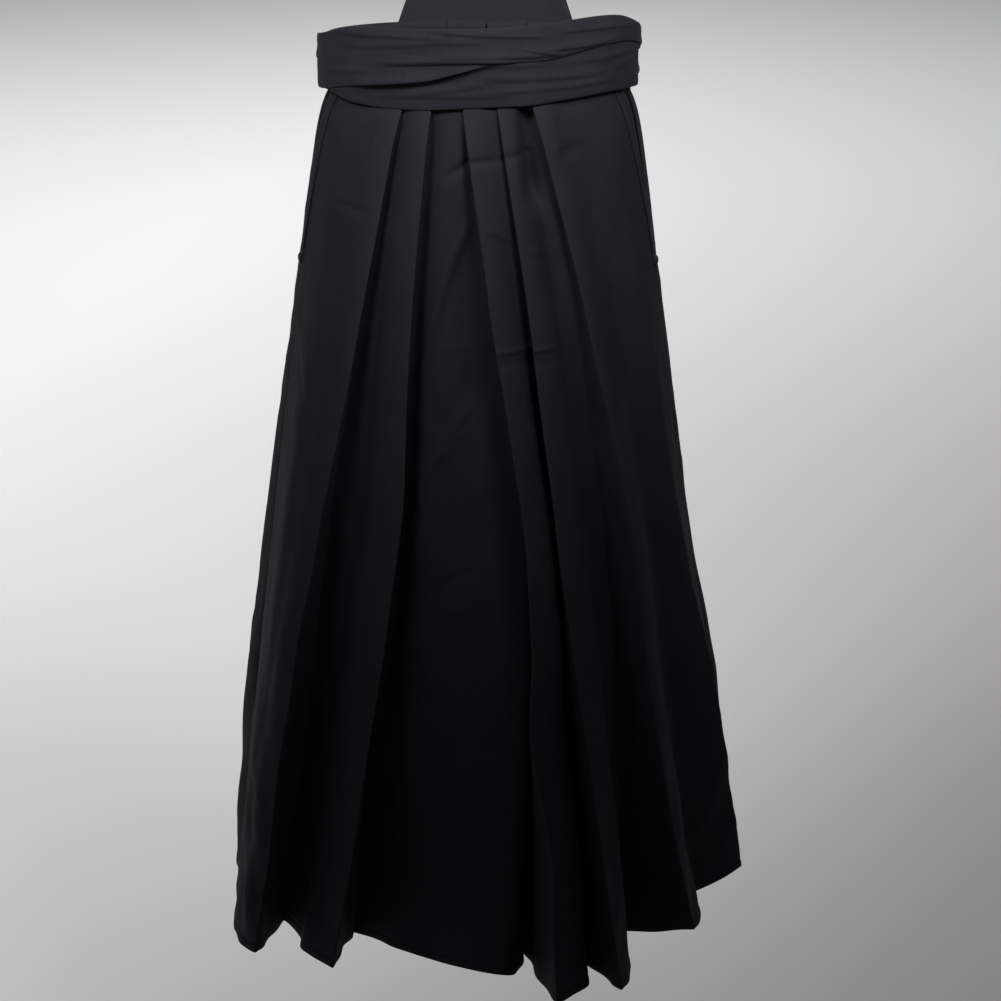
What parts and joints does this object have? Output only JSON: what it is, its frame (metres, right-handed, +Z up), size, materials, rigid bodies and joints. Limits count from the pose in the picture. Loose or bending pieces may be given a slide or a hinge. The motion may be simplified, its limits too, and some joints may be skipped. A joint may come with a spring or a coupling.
{
  "type": "hakama trousers",
  "caption": "Pleated divided hakama trousers, hanging hollow as when worn, with waist ties wound round, side slits and a stiff back board.",
  "frame": {"origin": "middle of the waist, at half the height of the ties, where the wearer holds it up", "axes": "+Z up, +X towards the wearer's left, the front faces -Y"},
  "size_m": [0.6031, 0.5634, 1.0501],
  "materials": {
    "cloth": "matt twill",
    "tie": "matt twill",
    "board": "matt twill over board",
    "thread": "thread"
  },
  "bodies": {
    "root": {"front_right_panel": "cloth", "front_left_panel": "cloth", "back_right_panel": "cloth", "back_left_panel": "cloth", "gusset_right": "cloth", "gusset_left": "cloth", "slit_facing_right": "cloth", "slit_facing_left": "cloth", "slit_knot_right": "thread", "slit_knot_left": "thread", "front_waistband": "tie", "front_tie": "tie", "tie_under_wrap": "tie", "tie_over_wrap": "tie", "back_board": "board"}
  },
  "joints": []
}
